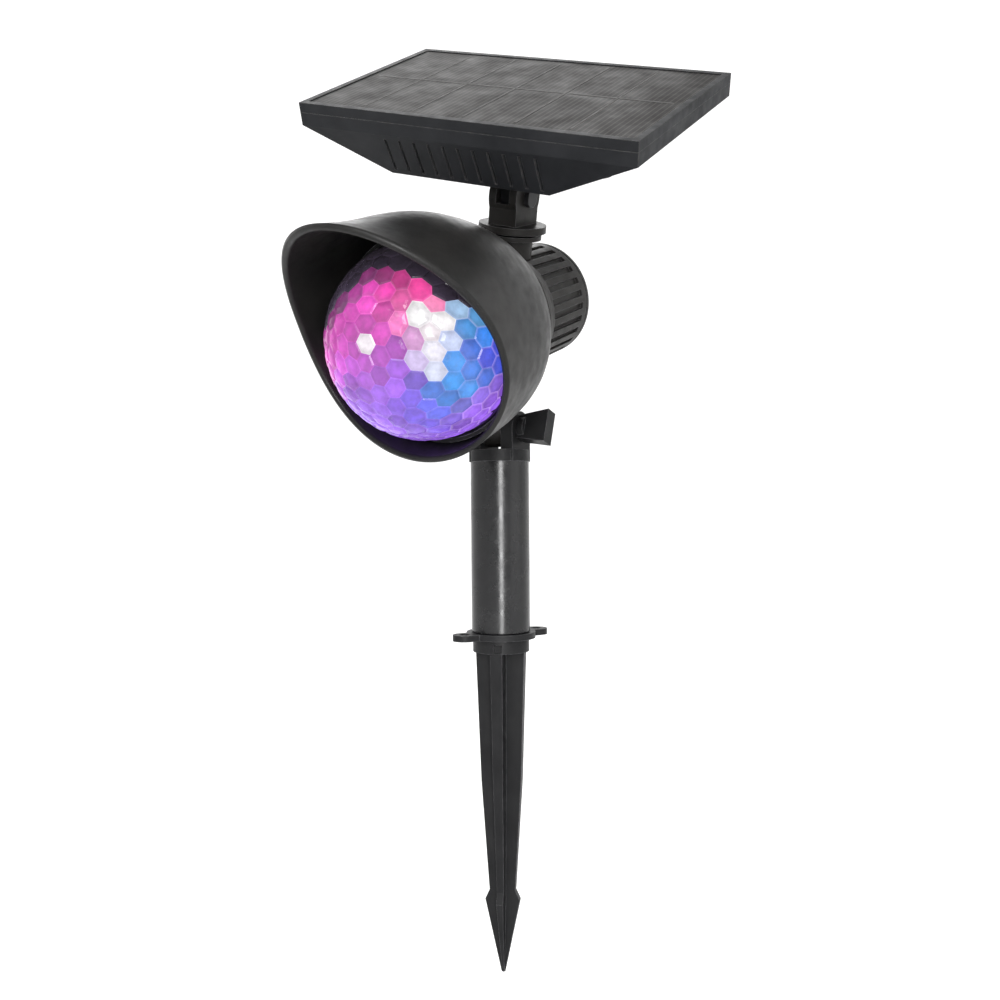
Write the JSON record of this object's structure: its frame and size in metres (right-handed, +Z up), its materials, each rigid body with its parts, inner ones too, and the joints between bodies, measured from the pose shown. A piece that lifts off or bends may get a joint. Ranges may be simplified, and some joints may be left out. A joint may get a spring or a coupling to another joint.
{
  "type": "light projector stake",
  "caption": "Solar light projector on a ground spike: hooded faceted dome lamp, tilting fork, swivelling neck and tilting solar panel.",
  "frame": {"origin": "centre of the mounting flange's underside, on the pole's axis, where the spike enters the ground", "axes": "+Z up along the pole, Y through the flange's two screw ears; the lamp looks towards -Y turned 25.3 degrees to +X"},
  "size_m": [0.1236, 0.1363, 0.3462],
  "materials": {
    "stake_black": "satin",
    "tube_gloss": "gloss",
    "zinc_steel": "zinc plated",
    "black_steel": "black oxide",
    "knob_black": "satin",
    "housing_black": "satin",
    "seal_rubber": "matt",
    "hood_black": "satin gloss",
    "clear_lens": "clear, faceted",
    "white_plastic": "matt",
    "circuit_board": "lacquered",
    "led_glow": "lit",
    "rotor_lens": "tinted, faceted",
    "panel_black": "satin",
    "solar_cell": "laminated, satin",
    "battery_wrap": "shrink wrap",
    "button_rubber": "matt"
  },
  "bodies": {
    "ground": {"ground_spike": "stake_black", "mounting_flange": "stake_black"},
    "pole": {"pole_tube": "tube_gloss", "pole_fork": "knob_black", "fork_nut": "zinc_steel"},
    "clamp": {"wing_screw": "knob_black"},
    "head": {"rear_housing": "housing_black", "rear_gasket": "seal_rubber", "rear_cap": "housing_black", "rear_cap_screws": "zinc_steel", "hood_lock_ring": "housing_black", "hood": "hood_black", "lens_gasket": "seal_rubber", "dome_lens": "clear_lens", "lens_bezel": "hood_black", "motor": "zinc_steel", "motor_mount": "white_plastic", "led_board": "circuit_board", "led_emitters": "led_glow", "reflector": "white_plastic", "swivel_lock_ring": "housing_black"},
    "rotor": {"pattern_rotor": "rotor_lens", "motor_shaft": "zinc_steel"},
    "neck": {"neck_post": "housing_black", "neck_clip": "zinc_steel"},
    "panel": {"panel_back_cover": "panel_black", "panel_top_frame": "panel_black", "solar_cell_plate": "solar_cell", "panel_screws": "zinc_steel", "battery_cell": "battery_wrap", "control_board": "circuit_board", "tact_switch": "housing_black", "hinge_bolt": "black_steel", "hinge_nut": "black_steel"},
    "button": {"power_button": "button_rubber"}
  },
  "joints": [
    {"name": "pole_swivel", "type": "hinge", "parent": "ground", "child": "pole", "pos_m": [0, 0, 0.01], "axis": [0, 0, 1], "range_deg": [-175, 175]},
    {"name": "lamp_tilt", "type": "hinge", "parent": "pole", "child": "head", "pos_m": [0, 0, 0.0783], "axis": [0.9041, 0.4274, 0], "range_deg": [-45, 35]},
    {"name": "clamp_turn", "type": "hinge", "parent": "pole", "child": "clamp", "pos_m": [0, 0, 0.0783], "axis": [0.9041, 0.4274, 0], "range_deg": [-180, 180]},
    {"name": "rotor_spin", "type": "hinge", "parent": "head", "child": "rotor", "pos_m": [0.02675, -0.03202, 0.10994], "axis": [0.4028, -0.8522, -0.3338], "continuous": true},
    {"name": "neck_swivel", "type": "hinge", "parent": "head", "child": "neck", "pos_m": [0.02632, -0.01106, 0.14699], "axis": [0.3964, -0.1663, 0.9029], "range_deg": [-90, 90]},
    {"name": "panel_tilt", "type": "hinge", "parent": "neck", "child": "panel", "pos_m": [0.03044, -0.01279, 0.15638], "axis": [0.825, 0.4961, -0.2709], "range_deg": [-35, 15]},
    {"name": "button_press", "type": "slide", "parent": "panel", "child": "button", "axis": [0.4826, -0.3689, 0.7944], "range_m": [0, 0.0012], "stiffness_N_per_m": 400}
  ]
}
